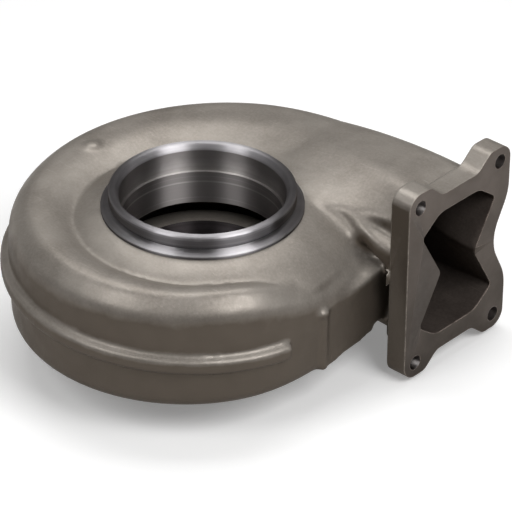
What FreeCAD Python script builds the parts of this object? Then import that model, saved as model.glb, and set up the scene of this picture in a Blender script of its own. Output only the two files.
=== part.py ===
import FreeCAD, Part
import math
import os
import Sketcher

# Turbine housing of a large turbocharger: one iron casting.
# Frame: the wheel axis is Z, the outlet face is the plane z = 0, the machined
# collar for the bearing housing is on top, and the inlet flange faces +X.
# Angles round the axis start at +X and grow towards +Y. The gas enters through
# the flange, meets the scroll at 90 degrees and goes round it with growing
# angle while the scroll narrows to its tongue.

DOC = FreeCAD.newDocument("turbine_housing")

SIZES = [
    # collar, its seat ring and the bore for the bearing housing
    ("rim_height", 164.0),
    ("rim_radius", 80.5),
    ("rim_bevel", 1.2),
    ("rim_step", 1.0),
    ("relief_radius", 77.8),
    ("relief_width", 2.4),
    ("seat_height", 150.8),
    ("seat_radius", 87.2),
    ("seat_fall", 1.6),
    ("seat_edge", 2.6),
    ("bore_radius", 71.5),
    ("bore_depth", 25.5),
    ("entry_width", 2.7),
    ("entry_depth", 5.4),
    ("pilot_radius", 69.0),
    # nozzle slot, shroud and outlet
    ("slot_top", 107.5),
    ("slot_width", 16.5),
    ("slot_radius", 87.0),
    ("shroud_round", 12.0),
    ("exducer_radius", 52.5),
    ("exducer_end", 58.0),
    ("outlet_radius", 60.0),
    ("outlet_bore_depth", 6.0),
    ("outlet_lip_radius", 75.0),
    ("outlet_lip_width", 6.0),
    ("outlet_flank", 4.0),
    ("spigot_radius", 67.0),
    ("spigot_top", 48.0),
    ("spigot_flare", 8.0),
    # hub between the collar and the scroll
    ("hub_radius", 130.0),
    ("hub_edge_height", 117.0),
    ("hub_edge_depth", 4.0),
    ("hub_arch", 75.0),
    ("hub_underside", 106.0),
    ("hub_core_radius", 86.0),
    # scroll: outer form
    ("scroll_radius_inlet", 197.0),
    ("scroll_radius_tongue", 137.0),
    ("scroll_radius_end", 150.0),
    ("scroll_root_radius", 80.0),
    ("scroll_end_angle", 453.0),
    ("parting_height", 91.0),
    ("draft", 1.2),
    ("crown_inlet", 157.0),
    ("crown_back", 152.5),
    ("crown_side", 144.0),
    ("crown_front", 140.5),
    ("crown_tongue", 122.0),
    ("crown_end", 116.0),
    ("crown_width_inlet", 37.0),
    ("crown_width_tongue", 8.0),
    ("root_inlet", 144.0),
    ("root_side", 120.0),
    ("root_end", 108.0),
    ("shoulder_inlet", 20.0),
    ("shoulder_tongue", 14.6),
    ("belly_inlet", 32.0),
    ("belly_tongue", 36.0),
    ("belly_round", 8.0),
    ("belly_fall", 1.5),
    ("belly_root_radius", 104.0),
    ("crown_blend", 9.0),
    ("parting_blend", 3.0),
    ("root_blend", 4.0),
    # scroll: gas passage
    ("wall", 7.0),
    ("passage_apex_radius", 80.0),
    ("passage_root_radius", 92.0),
    ("passage_root_top", 125.0),
    ("passage_root_bottom", 60.0),
    ("passage_end_angle", 378.0),
    # bead round the scroll at the parting plane
    ("bead_height", 14.4),
    ("bead_depth", 7.0),
    ("bead_start_angle", 96.0),
    ("bead_sink", 4.0),
    ("bead_end_angle", 344.0),
    ("bead_level_side", 90.0),
    ("bead_level_end", 79.5),
    # inlet flange
    ("flange_face", 167.5),
    ("flange_thickness", 20.0),
    ("flange_offset", 141.0),
    ("flange_height", 96.0),
    ("bolt_span_y", 105.0),
    ("bolt_span_z", 156.0),
    ("bolt_hole", 13.5),
    ("lobe_margin", 14.0),
    ("lobe_length", 27.0),
    ("side_waist", 22.0),
    ("side_waist_reach", 42.0),
    ("side_waist_round", 38.0),
    ("side_shoulder_round", 45.0),
    ("end_shoulder_round", 11.0),
    ("end_waist", 13.5),
    ("end_waist_run", 16.0),
    ("lug_width", 12.0),
    ("lug_height", 15.0),
    ("lug_reach", 4.0),
    ("lug_level", 42.0),
    # inlet opening, an hourglass
    ("mouth_half_width", 48.5),
    ("mouth_lobe_height", 45.0),
    ("mouth_half_height", 61.7),
    ("mouth_top_half", 26.0),
    ("mouth_waist_half", 22.5),
    ("mouth_corner_round", 5.0),
    ("mouth_end_round", 7.0),
    ("mouth_waist_round", 4.0),
    ("mouth_depth", 18.0),
    ("duct_wall", 6.8),
    ("duct_tuck", 16.0),
    ("duct_rise", 5.0),
    ("duct_corner", 9.0),
    ("duct_heel", 7.0),
    # web between the scroll and the flange, with a post at its near edge
    ("web_x", 138.0),
    ("web_y", 4.0),
    ("web_lean", 3.5),
    ("web_top", 98.5),
    ("web_bottom", 38.5),
    ("web_rise", 4.7),
    ("web_length", 90.0),
    ("web_depth", 40.0),
    ("heel_start", 69.5),
    ("heel_rise", 6.0),
    ("shelf_start", 26.0),
    ("shelf_rise", 8.5),
    ("post_radius", 3.6),
    ("post_head_radius", 7.0),
    ("post_head_rise", 5.0),
    ("post_head_shift", 1.0),
    ("post_top", 97.0),
    # rib on the inner top edge of the duct
    ("rib_start_x", 62.0),
    ("rib_start_y", 85.0),
    ("rib_end_y", 81.0),
    ("rib_start_half", 5.0),
    ("rib_end_half", 5.5),
    ("rib_root_top", 144.0),
    ("rib_peak_top", 146.5),
    ("rib_end_top", 128.5),
    ("rib_skirt_start", 34.0),
    ("rib_skirt_end", 6.0),
    ("rib_low_start", 143.0),
    ("rib_low_peak", 139.5),
    ("rib_low_end", 110.5),
    ("rib_skirt_fall", 4.0),
    ("rib_base", 97.0),
    ("rib_tenon", 0.5),
    ("rib_bank_run", 9.0),
    ("rib_bank_start", 4.0),
    ("rib_bank_end", 13.0),
    # cast pad on the crown
    ("pad_angle", 178.0),
    ("pad_reach", 137.0),
    ("pad_radius", 6.0),
    ("pad_top", 151.0),
    ("pad_sink", 12.0),
    # how far a cutter runs past the face that it starts from
    ("overshoot", 1.0),
]

INLET_ANGLE = 90.0
BACK_ANGLE = 132.0
SIDE_ANGLE = 222.0
FRONT_ANGLE = 330.0
TONGUE_ANGLE = 360.0
SECTIONS = 16
BEAD_SECTIONS = 12
DUCT_NEAR = 0.35
DUCT_FAR = 0.68
RIB_PEAK = 0.25

# Shares of a radius or a wall at which the sections' corners are rounded.
SHOULDER_SHARE = 0.9
BELLY_SHARE = 0.6
CORNER_SHARE = 0.45
BEAD_SHARE = 0.9
LONGEST_SHARE = 0.42
HIDDEN_BLEND = 1.0

SHEET = DOC.addObject("Spreadsheet::Sheet", "sizes")
for row, (alias, number) in enumerate(SIZES, start=1):
    SHEET.set("A" + str(row), alias)
    SHEET.set("B" + str(row), str(number))
    SHEET.setAlias("B" + str(row), alias)
DOC.recompute()


def size(alias):
    """The value of one named size."""
    return float(SHEET.get(alias))


def total(terms):
    """The value of a sum such as 'flange_face - flange_thickness / 2'."""
    result = 0.0
    for term in terms.replace("- ", "+ -").split("+ "):
        term = term.strip()
        if not term:
            continue
        sign = -1.0 if term[0] == "-" else 1.0
        name, _, divisor = term.lstrip("-").partition(" / ")
        amount = float(name) if name[0].isdigit() else size(name.strip())
        result += sign * amount / (float(divisor) if divisor else 1.0)
    return result


def bound(terms):
    """The same sum as an expression over the sheet."""
    words = [("sizes." + word) if word[0].isalpha() else word for word in terms.split()]
    return " ".join(words)


def plane_of(body, role):
    """One of the body's own origin planes."""
    for plane in body.Origin.OriginFeatures:
        if plane.Role == role:
            return plane
    raise ValueError(role)


def draw_edge(sketch, start, end, corner):
    """Add a line, or an arc of the corner's radius; True where it runs backwards."""
    if len(corner) == 2:
        sketch.addGeometry(Part.LineSegment(start, end), False)
        return False
    radius = total(corner[2])
    bulge_left = corner[3] == "left"
    chord = end - start
    left = FreeCAD.Vector(-chord.y, chord.x, 0).normalize()
    away = -1.0 if bulge_left else 1.0
    reach = math.sqrt(radius ** 2 - (chord.Length / 2) ** 2)
    centre = (start + end) / 2 + left * (away * reach)
    first, last = (end, start) if bulge_left else (start, end)
    angles = [math.atan2(spot.y - centre.y, spot.x - centre.x) for spot in (first, last)]
    circle = Part.Circle(centre, FreeCAD.Vector(0, 0, 1), radius)
    sketch.addGeometry(Part.ArcOfCircle(circle, angles[0], angles[1]), False)
    return bulge_left


def bind_corner(sketch, edge, point, coordinate, axis_line, kind):
    """Tie one coordinate of a corner to its sum of sizes."""
    if coordinate == "0":
        sketch.addConstraint(Sketcher.Constraint("PointOnObject", edge, point, axis_line))
        return
    number = sketch.addConstraint(Sketcher.Constraint(kind, edge, point, total(coordinate)))
    sketch.setExpression("Constraints[" + str(number) + "]", bound(coordinate))


def profile(body, name, role, corners):
    """A closed sketch whose corners are sums of named sizes.

    A corner with a third and a fourth entry starts an arc: its radius, and
    the side to which it bulges on the way to the next corner.
    """
    sketch = body.newObject("Sketcher::SketchObject", name)
    sketch.AttachmentSupport = (plane_of(body, role), "")
    sketch.MapMode = "FlatFace"
    spots = [FreeCAD.Vector(total(corner[0]), total(corner[1]), 0) for corner in corners]
    ends = []
    for place, corner in enumerate(corners):
        following = spots[(place + 1) % len(corners)]
        backwards = draw_edge(sketch, spots[place], following, corner)
        ends.append((2, 1) if backwards else (1, 2))
        if len(corner) > 2:
            number = sketch.addConstraint(Sketcher.Constraint("Radius", place, total(corner[2])))
            sketch.setExpression("Constraints[" + str(number) + "]", bound(corner[2]))
    for place, corner in enumerate(corners):
        before = place - 1 if place else len(corners) - 1
        join = Sketcher.Constraint("Coincident", before, ends[before][1], place, ends[place][0])
        sketch.addConstraint(join)
        bind_corner(sketch, place, ends[place][0], corner[0], -2, "DistanceX")
        bind_corner(sketch, place, ends[place][0], corner[1], -1, "DistanceY")
    return sketch


def turned(name, corners):
    """A body turned about the wheel axis from a profile in radius and height."""
    body = DOC.addObject("PartDesign::Body", name)
    sketch = profile(body, name + "_profile", "XZ_Plane", corners)
    turn = body.newObject("PartDesign::Revolution", name + "_turn")
    turn.Profile = sketch
    turn.ReferenceAxis = (sketch, ["V_Axis"])
    turn.Angle = 360.0
    sketch.Visibility = False
    return body


def make_core():
    """Collar, hub dome, spigot and outlet lip, still without their bores."""
    return turned("core", [
        ("0", "0"),
        ("outlet_lip_radius", "0"),
        ("outlet_lip_radius", "outlet_lip_width"),
        ("spigot_radius", "outlet_lip_width + outlet_flank"),
        ("spigot_radius", "spigot_top"),
        ("hub_core_radius", "spigot_top + spigot_flare"),
        ("hub_core_radius", "hub_underside"),
        ("hub_radius", "hub_edge_height - hub_edge_depth"),
        ("hub_radius", "hub_edge_height", "hub_arch", "right"),
        ("seat_radius", "seat_height - seat_fall - seat_edge"),
        ("seat_radius", "seat_height - seat_fall"),
        ("relief_radius", "seat_height"),
        ("relief_radius", "seat_height + relief_width"),
        ("rim_radius", "seat_height + relief_width + rim_step"),
        ("rim_radius", "rim_height - rim_bevel"),
        ("rim_radius - rim_bevel", "rim_height"),
        ("0", "rim_height"),
    ])


def make_bore():
    """What the boring bar takes out, from the collar down to the outlet."""
    return turned("bore", [
        ("0", "- overshoot"),
        ("outlet_radius", "- overshoot"),
        ("outlet_radius", "outlet_bore_depth"),
        ("exducer_radius", "exducer_end"),
        ("exducer_radius", "slot_top - slot_width - shroud_round", "shroud_round", "left"),
        ("exducer_radius + shroud_round", "slot_top - slot_width"),
        ("slot_radius", "slot_top - slot_width"),
        ("slot_radius", "slot_top"),
        ("pilot_radius", "slot_top"),
        ("pilot_radius", "rim_height - bore_depth"),
        ("bore_radius", "rim_height - bore_depth"),
        ("bore_radius", "rim_height - entry_depth"),
        ("bore_radius + entry_width", "rim_height"),
        ("bore_radius + entry_width", "rim_height + overshoot"),
        ("0", "rim_height + overshoot"),
    ])


def between(stations, angle):
    """Straight-line value between the stations (angle, value) on either side."""
    for (low, first), (high, second) in zip(stations, stations[1:]):
        if angle <= high:
            return first + (second - first) * (angle - low) / (high - low)
    return stations[-1][1]


def along(name, angle):
    """A size that runs from its inlet value to its tongue value round the scroll."""
    ends = [(INLET_ANGLE, size(name + "_inlet")), (TONGUE_ANGLE, size(name + "_tongue"))]
    return between(ends, angle)


def scroll_radius(angle):
    """Outer radius of the scroll at the parting plane."""
    return between([
        (INLET_ANGLE, size("scroll_radius_inlet")),
        (TONGUE_ANGLE, size("scroll_radius_tongue")),
        (size("scroll_end_angle"), size("scroll_radius_end")),
    ], angle)


def crown_height(angle):
    """Height of the scroll's top."""
    return between([
        (INLET_ANGLE, size("crown_inlet")),
        (BACK_ANGLE, size("crown_back")),
        (SIDE_ANGLE, size("crown_side")),
        (FRONT_ANGLE, size("crown_front")),
        (TONGUE_ANGLE, size("crown_tongue")),
        (size("scroll_end_angle"), size("crown_end")),
    ], angle)


def root_height(angle):
    """Height at which the scroll's top leaves the hub."""
    return between([
        (INLET_ANGLE, size("root_inlet")),
        (SIDE_ANGLE, size("root_side")),
        (size("scroll_end_angle"), size("root_end")),
    ], angle)


def scroll_corners(angle):
    """Corners (radius, height) and setbacks of the outer section at an angle."""
    radius = scroll_radius(angle)
    crown = crown_height(angle)
    shoulder = along("shoulder", angle)
    width = along("crown_width", angle)
    belly = along("belly", angle)
    inside = size("belly_round")
    draft = size("draft")
    root = size("scroll_root_radius")
    return [
        (root, root_height(angle), HIDDEN_BLEND),
        (radius - shoulder - width, crown, size("crown_blend")),
        (radius - shoulder, crown, SHOULDER_SHARE * shoulder),
        (radius - draft, crown - shoulder, SHOULDER_SHARE * shoulder),
        (radius, size("parting_height"), size("parting_blend")),
        (radius - draft, belly + inside, BELLY_SHARE * inside),
        (radius - draft - inside, belly, BELLY_SHARE * inside),
        (size("belly_root_radius"), belly + size("belly_fall"), size("root_blend")),
        (root + size("root_blend"), size("spigot_top") + size("root_blend"), HIDDEN_BLEND),
        (root, size("parting_height"), HIDDEN_BLEND),
    ]


def passage_corners(angle):
    """Corners (radius, height) and setbacks of the gas passage at an angle."""
    wall = size("wall")
    outer = scroll_corners(angle)
    root = size("passage_root_radius")
    blend_in = size("parting_blend")
    return [
        (root, size("passage_root_top"), blend_in),
        (outer[1][0], outer[1][1] - wall, size("crown_blend")),
        (outer[2][0] - CORNER_SHARE * wall, outer[2][1] - wall, outer[2][2]),
        (outer[3][0] - wall, outer[3][1] - CORNER_SHARE * wall, outer[3][2]),
        (outer[4][0] - wall, outer[4][1], blend_in),
        (outer[5][0] - wall, outer[5][1] + CORNER_SHARE * wall, blend_in),
        (outer[6][0] - CORNER_SHARE * wall, outer[6][1] + wall, blend_in),
        (outer[7][0], outer[7][1] + wall, size("root_blend")),
        (root, size("passage_root_bottom"), blend_in),
        (size("passage_apex_radius"), size("slot_top") - size("slot_width") / 2, HIDDEN_BLEND),
    ]


def rounded_wire(points, setbacks):
    """A closed polygon with every corner rounded from its setback on each side."""
    count = len(points)
    starts = []
    stops = []
    for place, corner in enumerate(points):
        before = points[place - 1] - corner
        after = points[(place + 1) % count] - corner
        reach = min(setbacks[place], LONGEST_SHARE * min(before.Length, after.Length))
        starts.append(corner + before.normalize() * reach)
        stops.append(corner + after.normalize() * reach)
    edges = []
    for place, corner in enumerate(points):
        curve = Part.BezierCurve()
        curve.setPoles([starts[place], corner, stops[place]])
        edges.append(curve.toShape())
        edges.append(Part.LineSegment(stops[place], starts[(place + 1) % count]).toShape())
    return Part.Wire(edges)


def radial_wire(corners, angle):
    """A section stood in the plane through the axis at an angle."""
    heading = FreeCAD.Vector(math.cos(math.radians(angle)), math.sin(math.radians(angle)), 0)
    points = [heading * corner[0] + FreeCAD.Vector(0, 0, corner[1]) for corner in corners]
    return rounded_wire(points, [corner[2] for corner in corners])


def angles_over(first, last, count):
    """Evenly spaced angles with both ends."""
    return [first + (last - first) * step / (count - 1) for step in range(count)]


def add_shape(name, shape):
    """Keep a lofted shape as an object of the document."""
    feature = DOC.addObject("Part::Feature", name)
    feature.Shape = shape
    return feature


def make_scroll():
    """The scroll's outer form, lofted round the axis."""
    angles = angles_over(INLET_ANGLE, size("scroll_end_angle"), SECTIONS)
    wires = [radial_wire(scroll_corners(angle), angle) for angle in angles]
    return add_shape("scroll", Part.makeLoft(wires, True, False))


def make_passage():
    """The gas passage inside the scroll."""
    angles = angles_over(INLET_ANGLE, size("passage_end_angle"), SECTIONS)
    wires = [radial_wire(passage_corners(angle), angle) for angle in angles]
    return add_shape("passage", Part.makeLoft(wires, True, False))


def hourglass(grow):
    """Corners (across, up, setback) of the inlet opening, grown by a margin."""
    wide = size("mouth_half_width") + grow
    lobe = size("mouth_lobe_height") + CORNER_SHARE * grow
    high = size("mouth_half_height") + grow
    top = size("mouth_top_half") + CORNER_SHARE * grow
    waist = size("mouth_waist_half") + grow
    side = size("mouth_corner_round")
    end = size("mouth_end_round")
    neck = size("mouth_waist_round")
    return [
        (-wide, lobe, side), (-top, high, end), (top, high, end), (wide, lobe, side),
        (waist, 0.0, neck),
        (wide, -lobe, side), (top, -high, end), (-top, -high, end), (-wide, -lobe, side),
        (-waist, 0.0, neck),
    ]


def upright_wire(corners, x):
    """A section (y, z) stood in a plane across the duct."""
    points = [FreeCAD.Vector(x, corner[0], corner[1]) for corner in corners]
    return rounded_wire(points, [corner[2] for corner in corners])


def flange_section(grow):
    """The hourglass set at the flange's centre."""
    across = size("flange_offset")
    up = size("flange_height")
    return [(across + y, up + z, setback) for y, z, setback in hourglass(grow)]


def blend(first, second, share):
    """Corners part of the way from one section to another."""
    return [tuple(a + (b - a) * share for a, b in zip(one, other))
            for one, other in zip(first, second)]


def duct_section(start, end, share):
    """Section of the duct or its passage at a share of the way to the flange."""
    corners = blend(start, end, share)
    tuck = size("duct_tuck") if share == DUCT_NEAR else 0.0
    inner = (corners[0][0] - tuck,) + corners[0][1:]
    moved = [(y, z + size("duct_rise"), setback) for y, z, setback in corners[1:4]]
    return [inner] + moved + corners[4:]


def make_duct():
    """The duct from the flange to the scroll, whose first section it shares."""
    back = size("flange_face") - size("flange_thickness") / 2
    start = scroll_corners(INLET_ANGLE)
    end = flange_section(size("duct_wall"))
    end[2] = (end[2][0] + size("duct_corner"),) + end[2][1:]
    end[8] = (end[8][0], end[8][1] - size("duct_heel"), end[8][2])
    wires = [upright_wire(start, 0.0)]
    for share in (DUCT_NEAR, DUCT_FAR):
        wires.append(upright_wire(duct_section(start, end, share), share * back))
    wires.append(upright_wire(end, back))
    return add_shape("duct", Part.makeLoft(wires, True, False))


def make_inlet():
    """The inlet passage from the flange face to the start of the scroll."""
    face = size("flange_face")
    back = face - size("flange_thickness") / 2
    mouth = flange_section(0.0)
    start = passage_corners(INLET_ANGLE)
    wires = [upright_wire(start, 0.0)]
    for share in (DUCT_NEAR, DUCT_FAR):
        wires.append(upright_wire(duct_section(start, mouth, share), share * back))
    wires.append(upright_wire(mouth, face - size("mouth_depth")))
    wires.append(upright_wire(mouth, face + size("overshoot")))
    return add_shape("inlet", Part.makeLoft(wires, True, False))


def bead_wire(angle):
    """Section of the bead on the scroll's wall at an angle."""
    radius = scroll_radius(angle)
    half = size("bead_height") / 2
    depth = size("bead_depth")
    sink = size("bead_sink")
    middle = between([
        (size("bead_start_angle"), size("bead_level_side")),
        (SIDE_ANGLE, size("bead_level_side")),
        (size("bead_end_angle"), size("bead_level_end")),
    ], angle)
    corners = [
        (radius - sink, middle + half, HIDDEN_BLEND),
        (radius + depth, middle + half, BEAD_SHARE * half),
        (radius + depth, middle - half, BEAD_SHARE * half),
        (radius - sink, middle - half, HIDDEN_BLEND),
    ]
    return radial_wire(corners, angle)


def make_bead():
    """The rounded bead that follows the scroll and stops short of the post."""
    angles = angles_over(size("bead_start_angle"), size("bead_end_angle"), BEAD_SECTIONS)
    return add_shape("bead", Part.makeLoft([bead_wire(angle) for angle in angles], True, False))


def pad_between(body, sketch, name, low, high):
    """Pad a profile from one height to another along its normal."""
    sketch.AttachmentOffset = FreeCAD.Placement(
        FreeCAD.Vector(0, 0, total(low)), FreeCAD.Rotation())
    sketch.setExpression(".AttachmentOffset.Base.z", bound(low))
    pad = body.newObject("PartDesign::Pad", name)
    pad.Profile = sketch
    pad.Length = total(high) - total(low)
    pad.setExpression("Length", bound(high) + " - (" + bound(low) + ")")
    sketch.Visibility = False
    return pad


def make_web():
    """The flat web between the scroll and the flange, with a heel and a rising shelf."""
    body = DOC.addObject("PartDesign::Body", "web")
    sketch = profile(body, "web_side", "YZ_Plane", [
        ("- web_y", "web_bottom"),
        ("heel_start", "web_bottom + web_rise"),
        ("heel_start", "web_bottom + web_rise + heel_rise"),
        ("web_length", "web_bottom + web_rise + heel_rise"),
        ("web_length", "web_top + shelf_rise"),
        ("shelf_start", "web_top"),
        ("- web_y", "web_top"),
    ])
    pad_between(body, sketch, "web_pad", "- web_depth", "0")
    body.Placement = FreeCAD.Placement(
        FreeCAD.Vector(size("web_x"), size("web_y"), 0),
        FreeCAD.Rotation(FreeCAD.Vector(0, 0, 1), size("web_lean")))
    body.setExpression(".Placement.Base.x", bound("web_x"))
    body.setExpression(".Placement.Base.y", bound("web_y"))
    return body


def flange_outline():
    """Corners of the flange plate, measured from the centre of its bolts."""
    wide = "bolt_span_y / 2 + lobe_margin"
    high = "bolt_span_z / 2 + lobe_margin"
    less_wide = "- bolt_span_y / 2 - lobe_margin"
    less_high = "- bolt_span_z / 2 - lobe_margin"
    lobe = "bolt_span_y / 2 + lobe_margin - lobe_length"
    less_lobe = "- bolt_span_y / 2 - lobe_margin + lobe_length"
    neck = lobe + " - end_waist_run"
    less_neck = less_lobe + " + end_waist_run"
    return [
        (wide, less_high), (wide, "- side_waist_reach"),
        (wide + " - side_waist", "0"), (wide, "side_waist_reach"),
        (wide, high), (lobe, high),
        (neck, high + " - end_waist"), (less_neck, high + " - end_waist"),
        (less_lobe, high), (less_wide, high),
        (less_wide, less_high), (less_lobe, less_high),
        (less_neck, less_high + " + end_waist"), (neck, less_high + " + end_waist"),
        (lobe, less_high),
    ]


def upright_edges(shape, spots):
    """Names of the edges along X that stand on the given (y, z) spots."""
    names = []
    for number, edge in enumerate(shape.Edges, start=1):
        ends = [vertex.Point for vertex in edge.Vertexes]
        if len(ends) != 2 or abs(ends[0].x - ends[1].x) < 1.0:
            continue
        for y, z in spots:
            if max(math.hypot(end.y - y, end.z - z) for end in ends) < 0.01:
                names.append("Edge" + str(number))
    return names


def make_flange():
    """The inlet flange plate with four rounded lobes."""
    body = DOC.addObject("PartDesign::Body", "flange")
    outline = flange_outline()
    sketch = profile(body, "flange_outline", "YZ_Plane", outline)
    pad = pad_between(body, sketch, "flange_pad", "flange_face - flange_thickness", "flange_face")
    DOC.recompute()
    spots = [(total(corner[0]), total(corner[1])) for corner in outline]
    lobes = [spots[0], spots[4], spots[9], spots[10]]
    ends = [spots[5], spots[8], spots[11], spots[14]]
    hollows = [spots[6], spots[7], spots[12], spots[13]]
    base = pad
    for name, group, radius in (("lobe_round", lobes, "lobe_margin"),
                                ("end_round", ends, "end_shoulder_round"),
                                ("shoulder_round", [spots[1], spots[3]], "side_shoulder_round"),
                                ("hollow_round", hollows, "lobe_margin"),
                                ("waist_round", [spots[2]], "side_waist_round")):
        fillet = body.newObject("PartDesign::Fillet", name)
        fillet.Base = (base, upright_edges(base.Shape, group))
        fillet.Radius = total(radius)
        fillet.setExpression("Radius", bound(radius))
        DOC.recompute()
        base = fillet
    body.Placement = FreeCAD.Placement(
        FreeCAD.Vector(0, size("flange_offset"), size("flange_height")), FreeCAD.Rotation())
    body.setExpression(".Placement.Base.y", bound("flange_offset"))
    body.setExpression(".Placement.Base.z", bound("flange_height"))
    return body


def make_lug():
    """The small cast lug behind the flange, under the heel of the web."""
    lug = DOC.addObject("Part::Box", "lug")
    lug.setExpression("Length", bound("lug_reach + lug_reach"))
    lug.setExpression("Width", bound("lug_width"))
    lug.setExpression("Height", bound("lug_height"))
    lug.setExpression(".Placement.Base.x", bound("flange_face - flange_thickness - lug_reach"))
    lug.setExpression(".Placement.Base.y",
                      bound("flange_offset - bolt_span_y / 2 - lobe_margin + overshoot"))
    lug.setExpression(".Placement.Base.z", bound("lug_level"))
    return lug


def make_bolt_holes():
    """The four through holes of the flange."""
    holes = []
    for side_y, side_z in ((1, 1), (-1, 1), (-1, -1), (1, -1)):
        hole = DOC.addObject("Part::Cylinder", "bolt_hole")
        hole.setExpression("Radius", bound("bolt_hole / 2"))
        hole.setExpression("Height", bound("flange_thickness + lug_reach + lug_reach"))
        y_sign = " + " if side_y > 0 else " - "
        z_sign = " + " if side_z > 0 else " - "
        hole.Placement = FreeCAD.Placement(
            FreeCAD.Vector(), FreeCAD.Rotation(FreeCAD.Vector(0, 1, 0), 90))
        hole.setExpression(".Placement.Base.x", bound("flange_face - flange_thickness - lug_reach"))
        hole.setExpression(".Placement.Base.y", bound("flange_offset" + y_sign + "bolt_span_y / 2"))
        hole.setExpression(".Placement.Base.z", bound("flange_height" + z_sign + "bolt_span_z / 2"))
        holes.append(hole)
    return holes


def make_post():
    """The slim round post at the near edge of the web and its domed head."""
    post = DOC.addObject("Part::Cylinder", "post")
    post.setExpression("Radius", bound("post_radius"))
    post.setExpression("Height", bound("post_top - web_bottom"))
    head = DOC.addObject("Part::Ellipsoid", "post_head")
    head.setExpression("Radius1", bound("post_head_rise"))
    head.setExpression("Radius2", bound("post_head_radius"))
    head.setExpression("Radius3", bound("post_head_radius"))
    for item, level, shift in ((post, "web_bottom", "0"), (head, "post_top", "post_head_shift")):
        item.setExpression(".Placement.Base.x", bound("web_x - post_radius / 2 - " + shift))
        item.setExpression(".Placement.Base.y", bound("web_y - " + shift + " - " + shift))
        item.setExpression(".Placement.Base.z", bound(level))
    return [post, head]


def rib_wire(share):
    """Section of the rib at a share of its way from the hub to the flange."""
    last = total("flange_face - flange_thickness + rib_tenon")
    x = between([(0.0, size("rib_start_x")), (1.0, last)], share)
    y = between([(0.0, size("rib_start_y")), (1.0, size("rib_end_y"))], share)
    half = between([(0.0, size("rib_start_half")), (1.0, size("rib_end_half"))], share)
    top = between([(0.0, size("rib_root_top")), (RIB_PEAK, size("rib_peak_top")),
                   (1.0, size("rib_end_top"))], share)
    low = between([(0.0, size("rib_low_start")), (RIB_PEAK, size("rib_low_peak")),
                   (1.0, size("rib_low_end"))], share)
    skirt = between([(0.0, size("rib_skirt_start")), (RIB_PEAK, size("rib_skirt_start")),
                     (2 * RIB_PEAK, size("rib_skirt_end")), (1.0, size("rib_skirt_end"))], share)
    edge = y - half - skirt
    base = size("rib_base")
    bank = y + half + size("rib_bank_run")
    rise = between([(0.0, size("rib_bank_start")), (1.0, size("rib_bank_end"))], share)
    corners = [(y - half, top, half), (y + half, top, half), (bank, top + rise, HIDDEN_BLEND),
               (bank, base, HIDDEN_BLEND), (edge, base, HIDDEN_BLEND),
               (edge, low - size("rib_skirt_fall"), HIDDEN_BLEND), (y - half, low, half)]
    return upright_wire(corners, x)


def make_rib():
    """The soft rib along the duct's inner top edge, from the hub to the flange."""
    wires = [rib_wire(share) for share in (0.0, RIB_PEAK, 2 * RIB_PEAK, 1.0)]
    return [add_shape("rib", Part.makeLoft(wires, True, False))]


def make_pad():
    """The small cast pad on the crown."""
    pad = DOC.addObject("Part::Cylinder", "crown_pad")
    pad.setExpression("Radius", bound("pad_radius"))
    pad.setExpression("Height", bound("pad_sink"))
    turn = math.radians(size("pad_angle"))
    reach = size("pad_reach")
    spot = FreeCAD.Vector(
        reach * math.cos(turn), reach * math.sin(turn), total("pad_top - pad_sink"))
    pad.Placement = FreeCAD.Placement(spot, FreeCAD.Rotation())
    return pad


def fuse(name, parts):
    """One solid from overlapping ones."""
    joined = DOC.addObject("Part::MultiFuse", name)
    joined.Shapes = parts
    return joined


def main():
    solids = [make_core(), make_scroll(), make_duct(), make_flange(), make_bead(), make_web()]
    solids += make_post() + make_rib() + [make_pad(), make_lug()]
    blank = fuse("blank", solids)
    holes = fuse("hollow", [make_bore(), make_passage(), make_inlet()] + make_bolt_holes())
    DOC.recompute()
    housing = DOC.addObject("Part::Cut", "turbine_housing")
    housing.Base = blank
    housing.Tool = holes
    housing.Label = "turbine_housing"
    DOC.recompute()
    for item in DOC.Objects:
        if "Invalid" in item.State or "Error" in item.State:
            raise RuntimeError(item.Name + " failed: " + str(item.State))
    shape = housing.Shape
    if shape.isNull() or not shape.isValid() or len(shape.Solids) != 1:
        raise RuntimeError("the housing is not one valid solid")
    os.makedirs("parts", exist_ok=True)
    shape.exportStep(os.path.join("parts", housing.Label + ".step"))


main()
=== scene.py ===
import bmesh
import bpy
import math
from mathutils import Matrix, Vector


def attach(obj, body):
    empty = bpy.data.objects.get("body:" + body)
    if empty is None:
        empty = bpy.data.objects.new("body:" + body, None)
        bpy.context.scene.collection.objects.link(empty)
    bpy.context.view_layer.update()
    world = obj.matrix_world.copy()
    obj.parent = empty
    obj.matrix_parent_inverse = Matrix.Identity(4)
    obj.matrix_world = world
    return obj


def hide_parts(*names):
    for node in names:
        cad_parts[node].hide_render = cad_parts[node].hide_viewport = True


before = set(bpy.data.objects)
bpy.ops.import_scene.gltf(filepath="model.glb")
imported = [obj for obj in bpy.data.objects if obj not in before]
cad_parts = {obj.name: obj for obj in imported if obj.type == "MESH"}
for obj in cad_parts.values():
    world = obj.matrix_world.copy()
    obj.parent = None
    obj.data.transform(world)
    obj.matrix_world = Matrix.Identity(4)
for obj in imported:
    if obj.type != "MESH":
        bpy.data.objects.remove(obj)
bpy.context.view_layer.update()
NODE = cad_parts["turbine_housing"]

MM = 0.001
HAIR = 0.0001
WELD = 0.000002

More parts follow.
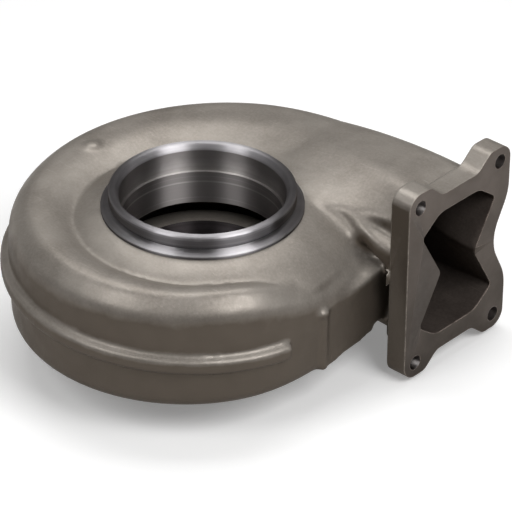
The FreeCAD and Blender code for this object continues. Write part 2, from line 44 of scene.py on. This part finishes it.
# Where the machined surfaces lie, in metres: collar, bores, shroud, outlet and flange.
SEAT_RADIUS = 0.0872
SEAT_FOOT = 0.1466
RIM_LEVEL = 0.164
BORE_RADIUS = 0.0715
SLOT_TOP = 0.1075
SHROUD_TOP = 0.091
SHROUD_RADIUS = 0.0645
OUTLET_LIP = 0.0752
LIP_HEIGHT = 0.0062
SPIGOT_FOOT = 0.010
FLANGE_FACE = 0.1675
FLANGE_BACK = 0.1475
FLANGE_Y = 0.141
FLANGE_Z = 0.096
BOLT_HALF_Y = 0.0525
BOLT_HALF_Z = 0.0780
HOLE_RADIUS = 0.0075

# The least share of a normal along +X on the milled flange face.
FACING = 0.9

# Points on the walls of the gas passage: both lobes of the inlet and the scroll.
PASSAGE_SPOTS = (Vector((0.12, 0.141, 0.155)), Vector((-0.14, 0.0, 0.137)),
                 Vector((0.12, 0.141, 0.037)))
PASSAGE_CREASE = math.radians(38)

# The rough skin: mesh step, rounds of smoothing, and how far it laps what adjoins it.
SKIN_STEP = 0.0021
BEAD_PASSES = 1
SKIN_PASSES = 4
RIB_PASSES = 16
BEAD_LEVELS = (0.068, 0.108)
BEAD_REACH = 0.136
RIB_ZONE = (Vector((0.035, 0.02, 0.085)), Vector((0.145, 0.115, 0.165)))
SUNK = 0.005
LAP = 0.002
COLLAR_LAP = 0.006

# Edges sharper than this stay crisp, in degrees.
MACHINED_CREASE = 32
SKIN_CREASE = 60
TURNED_CREASE = 40

# Turned outlines as (radius, height) in millimetres, down from the seat to the outlet.
LATHE_STEPS = 360
COLLAR_LINE = [
    (87.2, 146.6), (87.2, 148.9), (86.9, 149.25), (78.1, 150.75), (77.8, 151.0),
    (77.8, 152.9), (78.1, 153.2), (80.2, 154.0), (80.5, 154.4), (80.5, 162.7),
    (80.4, 162.9), (79.4, 163.9), (79.2, 164.0), (74.4, 164.0), (74.1, 163.85),
    (71.6, 158.8), (71.5, 158.5),
]
BORE_LINE = [
    (71.5, 158.5), (71.5, 138.8), (71.3, 138.5), (69.3, 138.5), (69.0, 138.2),
    (69.0, 107.8), (69.3, 107.5),
]
SHROUD_LINE = [
    (64.5, 91.0), (62.2, 90.75), (59.9, 90.1), (57.9, 89.0), (56.0, 87.5), (54.5, 85.6),
    (53.4, 83.6), (52.75, 81.3), (52.5, 79.0), (52.5, 58.0), (59.8, 6.3), (60.0, 6.0), (60.0, 0.0),
]

# The photograph's camera: focal length and optical axis in pixels of its frame.
FRAME_PIXELS = 512
FOCAL = 3400.0
ELEVATION = math.radians(32.47)
ROLL = math.radians(-0.38)
TURN = math.radians(42.4)
ANCHOR = (202.59, 187.64)
PIXEL = 0.00085
SENSOR = 36.0
FAR_CLIP = 50.0

# Softboxes along the photograph's right, away and up axes: place, size in metres, and watts.
LIGHT_TARGET = (0.0, 0.0, 0.1)
LIGHTS = (
    ("top", (0.0, 0.45, 1.5), (1.4, 0.9), 12),
    ("right", (0.84, -0.87, 1.25), (0.9, 0.8), 14.5),
    ("left", (-0.92, -0.78, 1.3), (0.7, 0.8), 7),
)
SURROUND = (1.0, 0.985, 0.97, 1)
SURROUND_STRENGTH = 0.16
FLOOR_SIZE = 12.0
FLOOR_DROP = 0.0005
FLOOR_SEEN = (0.96, 0.96, 0.96, 1)
FLOOR_THROWN = (0.3, 0.3, 0.3, 1)
FLOOR_GLOW = 0.22

# What all the iron shares: a weak gloss, tinted where it is seen at a slant.
GLOSS = 0.3
EDGE_TINT = (0.4, 0.37, 0.34, 1)

# Sockets of the Mix node in its colour form.
MIX_FACTOR, MIX_FIRST, MIX_SECOND, MIX_RESULT = 0, 6, 7, 2


def node(tree, kind, **settings):
    """A shader node with its properties set; inputs by position or name come last."""
    made = tree.nodes.new(kind)
    inputs = settings.pop("inputs", {})
    for name, value in settings.items():
        setattr(made, name, value)
    for name, value in inputs.items():
        if isinstance(value, bpy.types.NodeSocket):
            tree.links.new(value, made.inputs[name])
        else:
            made.inputs[name].default_value = value
    return made


def noise(tree, place, scale, detail=4.0, rough=0.55):
    """Cloudy noise between zero and one."""
    return node(tree, "ShaderNodeTexNoise", inputs={
        "Vector": place, "Scale": scale, "Detail": detail, "Roughness": rough}).outputs["Fac"]


def span(tree, value, low, high, first=0.0, second=1.0):
    """A value mapped from one range to another and clamped."""
    return node(tree, "ShaderNodeMapRange", inputs={
        "Value": value, "From Min": low, "From Max": high,
        "To Min": first, "To Max": second}).outputs["Result"]


def maths(tree, operation, first, second=0.0):
    """The result of one step of arithmetic."""
    return node(tree, "ShaderNodeMath", operation=operation,
                inputs={0: first, 1: second}).outputs[0]


def blend_colour(tree, share, first, second):
    """The first colour turning to the second as the share grows."""
    mixed = node(tree, "ShaderNodeMix", data_type="RGBA",
                 inputs={MIX_FACTOR: share, MIX_FIRST: first, MIX_SECOND: second})
    return mixed.outputs[MIX_RESULT]


def times(colour, factor):
    """A colour made lighter or darker."""
    return (colour[0] * factor, colour[1] * factor, colour[2] * factor, 1.0)


def soft_normal(tree, radius):
    """The surface's normal, rounded over its edges."""
    return node(tree, "ShaderNodeBevel", samples=6, inputs={"Radius": radius}).outputs["Normal"]


def bump(tree, height, strength, distance, normal=None):
    """A normal tilted by a height, on top of another normal where one is given."""
    made = node(tree, "ShaderNodeBump", inputs={
        "Height": height, "Strength": strength, "Distance": distance})
    if normal is not None:
        tree.links.new(normal, made.inputs["Normal"])
    return made.outputs["Normal"]


def start_material(name):
    """A new material with its node tree, its shader and the object's own coordinates."""
    material = bpy.data.materials.new(name)
    material.use_nodes = True
    tree = material.node_tree
    shader = tree.nodes["Principled BSDF"]
    shader.inputs["Specular IOR Level"].default_value = GLOSS
    shader.inputs["Specular Tint"].default_value = EDGE_TINT
    place = node(tree, "ShaderNodeTexCoord").outputs["Object"]
    return material, tree, shader, place


def facing_up_light_share(tree, place, normal, low, high):
    """How far a surface faces up, used as the mask of the painted wall shade: zero on a wall and
    one on a level face.
    """
    rise = node(tree, "ShaderNodeSeparateXYZ", inputs={"Vector": normal}).outputs["Z"]
    wander = span(tree, noise(tree, place, scale=40.0), low=0.3, high=0.7,
                  first=-0.07, second=0.07)
    return span(tree, maths(tree, "ADD", rise, wander), low, high)


def edge_share(tree, soft, low, high):
    """Where the softened normal leaves the true one, which is along the edges."""
    true = node(tree, "ShaderNodeNewGeometry").outputs["Normal"]
    match = node(tree, "ShaderNodeVectorMath", operation="DOT_PRODUCT",
                 inputs={0: soft, 1: true}).outputs["Value"]
    return span(tree, match, low, high, first=1.0, second=0.0)


def cast_tone(tree, place, soft, light, dark, wall_shade, rub_and_highlight):
    """Mottled and speckled iron, with painted shade: lighter on level faces and dark brown on
    walls; edges rubbed bright, partly wear and partly a painted highlight.
    """
    bright = times(light, 1.3)
    clouds = span(tree, noise(tree, place, scale=14.0, detail=5.0), low=0.35, high=0.68)
    specks = span(tree, noise(tree, place, scale=420.0, detail=3.0), low=0.35, high=0.7,
                  second=0.25)
    tone = blend_colour(tree, clouds, dark, light)
    tone = blend_colour(tree, specks, tone, bright)
    lie = node(tree, "ShaderNodeMapping", inputs={
        "Vector": place, "Rotation": (0.0, 0.0, 0.5), "Scale": (1.0, 16.0, 16.0)}).outputs[0]
    streaks = span(tree, noise(tree, lie, scale=34.0, detail=3.0, rough=0.6),
                   low=0.6, high=0.78, second=0.45)
    tone = blend_colour(tree, streaks, tone, bright)
    # Painted shade: walls take a darker, browner copy of the dark tone, as if less light fell on
    # them.
    shaded_brown = (dark[0] * wall_shade, dark[1] * wall_shade * 0.92, dark[2] * wall_shade * 0.84, 1.0)
    tone = blend_colour(tree, facing_up_light_share(tree, place, soft, low=0.1, high=0.58), shaded_brown, tone)
    # Edges lightened: partly rubbed wear and partly a painted highlight.
    patchy = span(tree, noise(tree, place, scale=120.0, detail=3.0), low=0.35, high=0.6,
                  first=0.1, second=0.6)
    rubbed_and_highlit = maths(tree, "MULTIPLY", edge_share(tree, soft, low=0.90, high=0.985), patchy)
    return blend_colour(tree, rubbed_and_highlit, tone, times(light, rub_and_highlight))


def cast_material(name, light, dark, metal, rough, grain, wall_shade, rub_and_highlight):
    """Blasted cast iron with shallow dents and a fine grain."""
    material, tree, shader, place = start_material(name)
    soft = soft_normal(tree, radius=2.2 * MM)
    tree.links.new(cast_tone(tree, place, soft, light, dark, wall_shade, rub_and_highlight),
                   shader.inputs["Base Color"])
    roughness = span(tree, noise(tree, place, scale=60.0, detail=6.0), low=0.3, high=0.7,
                     first=rough - 0.06, second=rough + 0.08)
    tree.links.new(roughness, shader.inputs["Roughness"])
    shader.inputs["Metallic"].default_value = metal
    dents = bump(tree, noise(tree, place, scale=55.0, detail=3.0),
                 strength=0.35, distance=1.2 * MM, normal=soft)
    fine = bump(tree, noise(tree, place, scale=700.0, rough=0.7),
                strength=grain, distance=0.4 * MM, normal=dents)
    tree.links.new(fine, shader.inputs["Normal"])
    return material


def turned_lanes(tree, place):
    """Coordinates that are the same all the way round the axis: radius and height."""
    x, y, z = node(tree, "ShaderNodeSeparateXYZ", inputs={"Vector": place}).outputs
    squares = maths(tree, "ADD", maths(tree, "MULTIPLY", x, x), maths(tree, "MULTIPLY", y, y))
    return node(tree, "ShaderNodeCombineXYZ", inputs={
        "X": maths(tree, "SQRT", squares), "Y": 0.0, "Z": z}).outputs[0]


def turned_material(name, light, dark, rough, wall_shade):
    """Turned metal: fine grooves round the axis, with streaks from the tool, and painted shade
    that darkens the walls.
    """
    material, tree, shader, place = start_material(name)
    lanes = turned_lanes(tree, place)
    grooves = noise(tree, lanes, scale=2600.0, detail=2.0)
    bands = noise(tree, lanes, scale=260.0, detail=3.0)
    patches = noise(tree, place, scale=30.0)
    share = maths(tree, "ADD", maths(tree, "MULTIPLY", bands, 0.55),
                  maths(tree, "MULTIPLY", patches, 0.45))
    tone = blend_colour(tree, span(tree, share, low=0.35, high=0.65), dark, light)
    normal = node(tree, "ShaderNodeNewGeometry").outputs["Normal"]
    # Painted shade: walls take a darker copy of the dark tone, where less light falls.
    lit_facing_share = facing_up_light_share(tree, place, normal, low=0.1, high=0.4)
    streaks = span(tree, bands, low=0.55, high=0.7, second=0.6)
    tone = blend_colour(tree, maths(tree, "ADD", lit_facing_share, streaks), times(dark, wall_shade), tone)
    tree.links.new(tone, shader.inputs["Base Color"])
    roughness = span(tree, bands, low=0.3, high=0.7, first=rough - 0.05, second=rough + 0.08)
    tree.links.new(roughness, shader.inputs["Roughness"])
    shader.inputs["Metallic"].default_value = 1.0
    shader.inputs["Anisotropic"].default_value = 1.0
    shader.inputs["Anisotropic Rotation"].default_value = 0.25
    tangent = node(tree, "ShaderNodeTangent", direction_type="RADIAL", axis="Z")
    tree.links.new(tangent.outputs[0], shader.inputs["Tangent"])
    tree.links.new(bump(tree, grooves, strength=0.18, distance=0.2 * MM),
                   shader.inputs["Normal"])
    return material


def milled_tone(tree, place, soft, light, dark):
    """Milled iron, with painted shade darkening it towards the flange's foot, and rubbed bright
    along its edges, partly wear and partly a painted highlight.
    """
    clouds = span(tree, noise(tree, place, scale=26.0, detail=5.0), low=0.35, high=0.68,
                  second=0.4)
    # Painted shade: the tone darkens towards the flange's foot, where the face sees the shaded
    # floor.
    height = node(tree, "ShaderNodeSeparateXYZ", inputs={"Vector": place}).outputs["Z"]
    share = maths(tree, "ADD", clouds, span(tree, height, low=0.01, high=0.18, second=0.6))
    tone = blend_colour(tree, share, dark, light)
    # Edges lightened: partly rubbed wear and partly a painted highlight.
    patchy = span(tree, noise(tree, place, scale=90.0, detail=3.0), low=0.35, high=0.6,
                  first=0.2, second=0.8)
    rubbed_and_highlit = maths(tree, "MULTIPLY", edge_share(tree, soft, low=0.85, high=0.985), patchy)
    return blend_colour(tree, rubbed_and_highlit, tone, times(light, 3.2))


def milled_material(name, light, dark, metal, rough):
    """A milled face with the faint arcs of its cutter."""
    material, tree, shader, place = start_material(name)
    soft = soft_normal(tree, radius=1.6 * MM)
    tree.links.new(milled_tone(tree, place, soft, light, dark), shader.inputs["Base Color"])
    shifted = node(tree, "ShaderNodeMapping", inputs={
        "Vector": place, "Location": (0.0, 0.35, 0.1)}).outputs[0]
    arcs = node(tree, "ShaderNodeTexWave", wave_type="RINGS", rings_direction="X", inputs={
        "Vector": shifted, "Scale": 260.0, "Distortion": 1.5, "Detail": 2.0}).outputs["Fac"]
    roughness = span(tree, noise(tree, place, scale=90.0), low=0.3, high=0.7,
                     first=rough - 0.05, second=rough + 0.07)
    tree.links.new(roughness, shader.inputs["Roughness"])
    shader.inputs["Metallic"].default_value = metal
    tree.links.new(bump(tree, arcs, strength=0.06, distance=0.2 * MM, normal=soft),
                   shader.inputs["Normal"])
    return material


CAST = cast_material("cast_iron", light=(0.35, 0.32, 0.287, 1), dark=(0.25, 0.225, 0.198, 1),
                     metal=0.5, rough=0.40, grain=0.32, wall_shade=0.42, rub_and_highlight=1.5)
# The passage's edges are lightened strongly: partly rubbed wear and mostly a painted highlight.
PASSAGE = cast_material("cast_passage", light=(0.10, 0.082, 0.072, 1),
                        dark=(0.045, 0.036, 0.031, 1),
                        metal=0.2, rough=0.6, grain=0.5, wall_shade=0.7, rub_and_highlight=6.0)
TURNED = turned_material("turned_iron", light=(0.58, 0.565, 0.58, 1),
                         dark=(0.38, 0.365, 0.38, 1), rough=0.40, wall_shade=0.45)
BORED = turned_material("bored_iron", light=(0.62, 0.59, 0.57, 1),
                        dark=(0.36, 0.335, 0.33, 1), rough=0.48, wall_shade=0.8)
SHROUD = turned_material("shroud_iron", light=(0.05, 0.044, 0.046, 1),
                         dark=(0.02, 0.017, 0.017, 1), rough=0.46, wall_shade=0.6)
MILLED = milled_material("milled_iron", light=(0.15, 0.126, 0.11, 1),
                         dark=(0.055, 0.045, 0.037, 1), metal=0.4, rough=0.42)

CAST_SLOT, PASSAGE_SLOT, TURNED_SLOT, BORED_SLOT, MILLED_SLOT = range(5)


def spread(work, starts, may_cross):
    """Numbers of the faces reached from some, over every edge that may be crossed."""
    reached = set(starts)
    stack = list(starts)
    while stack:
        for edge in work.faces[stack.pop()].edges:
            for other in edge.link_faces:
                if other.index not in reached and may_cross(edge, other):
                    reached.add(other.index)
                    stack.append(other.index)
    return reached


def under_work(mesh):
    """An editable copy of a mesh."""
    work = bmesh.new()
    work.from_mesh(mesh)
    work.faces.ensure_lookup_table()
    return work


def kept_mesh(name, work):
    """A mesh from what was under work."""
    mesh = bpy.data.meshes.new(name)
    work.to_mesh(mesh)
    work.free()
    return mesh


def passage_faces(mesh):
    """Faces of the gas passage, which ends at sharp edges."""
    work = under_work(mesh)
    starts = [min(work.faces, key=lambda face: (face.calc_center_median() - spot).length).index
              for spot in PASSAGE_SPOTS]
    reached = spread(work, starts, lambda edge, other: (
        len(edge.link_faces) == 2 and edge.calc_face_angle(0.0) <= PASSAGE_CREASE))
    work.free()
    return reached


def face_slot(centre, normal, inside):
    """The material slot of a face of the casting."""
    if math.hypot(centre.x, centre.y) < OUTLET_LIP and centre.z < LIP_HEIGHT:
        return TURNED_SLOT
    if normal.x > FACING and centre.x > FLANGE_FACE - HAIR:
        return MILLED_SLOT
    for side_y in (-1, 1):
        for side_z in (-1, 1):
            away = math.hypot(centre.y - FLANGE_Y - side_y * BOLT_HALF_Y,
                              centre.z - FLANGE_Z - side_z * BOLT_HALF_Z)
            if away < HOLE_RADIUS and centre.x > FLANGE_BACK:
                return BORED_SLOT
    return PASSAGE_SLOT if inside else CAST_SLOT


def is_turned(vertex):
    """Whether a corner lies on a surface that the turned pieces show instead."""
    radius = math.hypot(vertex.co.x, vertex.co.y)
    level = vertex.co.z
    if level > SEAT_FOOT - HAIR and radius < SEAT_RADIUS + HAIR:
        return True
    if level > SLOT_TOP - HAIR and radius < BORE_RADIUS + HAIR:
        return True
    return level < SHROUD_TOP + HAIR and radius < SHROUD_RADIUS + HAIR


def hand_over(piece):
    """Declares a piece as part of the casting."""
    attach(piece, "root")
    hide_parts("turbine_housing")


def is_skin(face, inside):
    """Whether a face belongs to the rough outer skin between the machined ends."""
    if face.index in inside or all(is_turned(vertex) for vertex in face.verts):
        return False
    if max(vertex.co.x for vertex in face.verts) > FLANGE_BACK + HAIR:
        return False
    if all(abs(vertex.co.x - FLANGE_BACK) < HAIR for vertex in face.verts):
        return False
    return min(vertex.co.z for vertex in face.verts) > SPIGOT_FOOT - HAIR


def joined_skin(work, inside):
    """Skin faces that are joined to the one furthest from the flange."""
    allowed = {face.index for face in work.faces if is_skin(face, inside)}
    first = min(allowed, key=lambda number: work.faces[number].calc_center_median().x)
    return spread(work, [first], lambda edge, other: other.index in allowed)


def add_piece(name, mesh, materials, crease):
    """An object of the casting, smooth but for the edges sharper than the crease."""
    for material in materials:
        mesh.materials.append(material)
    mesh.shade_smooth()
    mesh.set_sharp_from_angle(angle=math.radians(crease))
    piece = bpy.data.objects.new(name, mesh)
    bpy.context.scene.collection.objects.link(piece)
    hand_over(piece)


def make_machined(mesh, inside):
    """The flange, the gas passage and the outlet lip, as the casting has them."""
    work = under_work(mesh)
    outer = joined_skin(work, inside)
    spare = [face for face in work.faces if face.index in outer
             or all(is_turned(vertex) for vertex in face.verts)]
    for face in work.faces:
        face.material_index = face_slot(face.calc_center_median(), face.normal,
                                        face.index in inside)
    bmesh.ops.delete(work, geom=spare, context="FACES")
    add_piece("housing", kept_mesh("housing", work),
              (CAST, PASSAGE, TURNED, BORED, MILLED), MACHINED_CREASE)


def closed_skin(mesh, inside):
    """The rough skin with its openings closed, and sunk a little into what adjoins them."""
    work = under_work(mesh)
    outer = joined_skin(work, inside)
    spare = [face for face in work.faces if face.index not in outer]
    bmesh.ops.delete(work, geom=spare, context="FACES")
    rims = [edge for edge in work.edges if edge.is_boundary]
    at_flange = [edge for edge in rims
                 if all(abs(vertex.co.x - FLANGE_BACK) < HAIR for vertex in edge.verts)]
    at_foot = [edge for edge in rims
               if all(abs(vertex.co.z - SPIGOT_FOOT) < HAIR for vertex in edge.verts)]
    for edges, way in ((at_flange, Vector((SUNK, 0, 0))), (at_foot, Vector((0, 0, -SUNK)))):
        made = bmesh.ops.extrude_edge_only(work, edges=edges)["geom"]
        bmesh.ops.translate(work, vec=way, verts=[
            item for item in made if isinstance(item, bmesh.types.BMVert)])
    bmesh.ops.holes_fill(work, edges=[edge for edge in work.edges if edge.is_boundary])
    bmesh.ops.recalc_face_normals(work, faces=work.faces)
    return kept_mesh("skin_base", work)


def in_bead_zone(point):
    """Whether a point lies on the outer wall, where the bead keeps a crisper edge."""
    bottom, top = BEAD_LEVELS
    return bottom < point.z < top and math.hypot(point.x, point.y) > BEAD_REACH


def soften(work):
    """Rounds the creases as a casting's are, more where the rib meets the duct and the hub."""
    low, high = RIB_ZONE
    for turn in range(RIB_PASSES):
        chosen = work.verts
        if turn >= BEAD_PASSES:
            chosen = [vertex for vertex in work.verts if not in_bead_zone(vertex.co)]
        if turn >= SKIN_PASSES:
            chosen = [vertex for vertex in work.verts
                      if all(low[i] < vertex.co[i] < high[i] for i in range(3))]
        bmesh.ops.smooth_vert(work, verts=chosen, factor=0.5,
                              use_axis_x=True, use_axis_y=True, use_axis_z=True)


def is_hidden(face):
    """Whether a face of the skin lies under the collar, in the flange or in the outlet lip."""
    middle = face.calc_center_median()
    if middle.x > FLANGE_BACK + LAP or middle.z < SPIGOT_FOOT - LAP:
        return True
    reach = math.hypot(middle.x, middle.y)
    return reach < SEAT_RADIUS - LAP and middle.z > SEAT_FOOT - COLLAR_LAP


def make_skin(mesh, inside):
    """The rough outer skin, remeshed so that every crease has a cast round."""
    base = bpy.data.objects.new("skin_base", closed_skin(mesh, inside))
    bpy.context.scene.collection.objects.link(base)
    remesh = base.modifiers.new("even", "REMESH")
    remesh.mode = "VOXEL"
    remesh.voxel_size = SKIN_STEP
    graph = bpy.context.evaluated_depsgraph_get()
    work = under_work(base.evaluated_get(graph).to_mesh())
    bpy.data.objects.remove(base)
    soften(work)
    hidden = [face for face in work.faces if is_hidden(face)]
    bmesh.ops.delete(work, geom=hidden, context="FACES")
    add_piece("skin", kept_mesh("skin", work), (CAST,), SKIN_CREASE)


def make_housing():
    """The casting's surface: machined parts from the model and a softened skin."""
    work = under_work(NODE.data)
    bmesh.ops.remove_doubles(work, verts=work.verts, dist=WELD)
    casting = kept_mesh("casting_copy", work)
    inside = passage_faces(casting)
    make_machined(casting, inside)
    make_skin(casting, inside)


def lathe(name, outline, material):
    """A fine-stepped turned surface from an outline in millimetres."""
    points = []
    faces = []
    for step in range(LATHE_STEPS):
        turn = 2 * math.pi * step / LATHE_STEPS
        for radius, level in outline:
            points.append((radius * MM * math.cos(turn), radius * MM * math.sin(turn), level * MM))
    rows = len(outline)
    for step in range(LATHE_STEPS):
        first = step * rows
        second = (step + 1) % LATHE_STEPS * rows
        for row in range(rows - 1):
            faces.append((first + row, second + row, second + row + 1, first + row + 1))
    mesh = bpy.data.meshes.new(name)
    mesh.from_pydata(points, [], faces)
    add_piece(name, mesh, (material,), TURNED_CREASE)


def make_stage():
    """A plain floor under the outlet face: white as seen, and dimmer in the light it throws."""
    bpy.ops.mesh.primitive_plane_add(size=FLOOR_SIZE, location=(0.0, 0.0, -FLOOR_DROP))
    floor = bpy.context.object
    floor.name = "floor"
    material = bpy.data.materials.new("floor")
    material.use_nodes = True
    tree = material.node_tree
    shader = tree.nodes["Principled BSDF"]
    rays = node(tree, "ShaderNodeLightPath").outputs
    seen = maths(tree, "MAXIMUM", rays["Is Camera Ray"],
                 maths(tree, "MAXIMUM", rays["Is Glossy Ray"], rays["Is Transmission Ray"]))
    tree.links.new(blend_colour(tree, seen, FLOOR_THROWN, FLOOR_SEEN),
                   shader.inputs["Base Color"])
    shader.inputs["Roughness"].default_value = 0.9
    shader.inputs["Emission Color"].default_value = (1.0, 1.0, 1.0, 1)
    tree.links.new(maths(tree, "MULTIPLY", seen, FLOOR_GLOW), shader.inputs["Emission Strength"])
    floor.data.materials.append(material)


def dim_world():
    """A dim even surround, which the metal shows as soft grey."""
    world = bpy.data.worlds.new("surround")
    bpy.context.scene.world = world
    world.use_nodes = True
    background = world.node_tree.nodes["Background"]
    background.inputs["Color"].default_value = SURROUND
    background.inputs["Strength"].default_value = SURROUND_STRENGTH


def softbox(name, place, size, watts):
    """A white rectangular lamp that faces the casting."""
    here = photo_point(*place)
    data = bpy.data.lights.new(name, "AREA")
    data.shape = "RECTANGLE"
    data.size, data.size_y = size
    data.energy = watts
    lamp = bpy.data.objects.new(name, data)
    bpy.context.scene.collection.objects.link(lamp)
    lamp.location = here
    lamp.rotation_mode = "QUATERNION"
    lamp.rotation_quaternion = (photo_point(*LIGHT_TARGET) - here).to_track_quat("-Z", "Y")


def make_camera():
    """The camera at the photograph's viewing angle, from its fitted pose."""
    spin = Matrix.Rotation(TURN, 3, "Z")
    ahead = Vector((0, math.cos(ELEVATION), -math.sin(ELEVATION)))
    right = Vector((1, 0, 0))
    down = ahead.cross(right)
    across = math.cos(ROLL) * right + math.sin(ROLL) * down
    below = -math.sin(ROLL) * right + math.cos(ROLL) * down
    middle = FRAME_PIXELS / 2
    place = -(FOCAL * ahead + (ANCHOR[0] - middle) * across + (ANCHOR[1] - middle) * below)
    data = bpy.data.cameras.new("camera")
    data.sensor_width = SENSOR
    data.lens = FOCAL / FRAME_PIXELS * data.sensor_width
    data.clip_end = FAR_CLIP
    camera = bpy.data.objects.new("camera", data)
    bpy.context.scene.collection.objects.link(camera)
    axes = [spin @ axis for axis in (across, -below, -ahead)]
    turn = Matrix((axes[0], axes[1], axes[2])).transposed()
    camera.matrix_world = Matrix.Translation(
        spin @ (place * PIXEL) + Vector((0, 0, RIM_LEVEL))) @ turn.to_4x4()
    bpy.context.scene.camera = camera


def photo_point(x, y, z):
    """A point given along the photograph's right, away and up axes, in metres."""
    return Matrix.Rotation(TURN, 3, "Z") @ Vector((x, y, z))


make_camera()
make_housing()
lathe("collar", COLLAR_LINE, TURNED)
lathe("bore", BORE_LINE, BORED)
lathe("shroud", SHROUD_LINE, SHROUD)
make_stage()
dim_world()
for name, place, size, watts in LIGHTS:
    softbox(name, place, size, watts)

bpy.context.scene.view_settings.view_transform = "Standard"
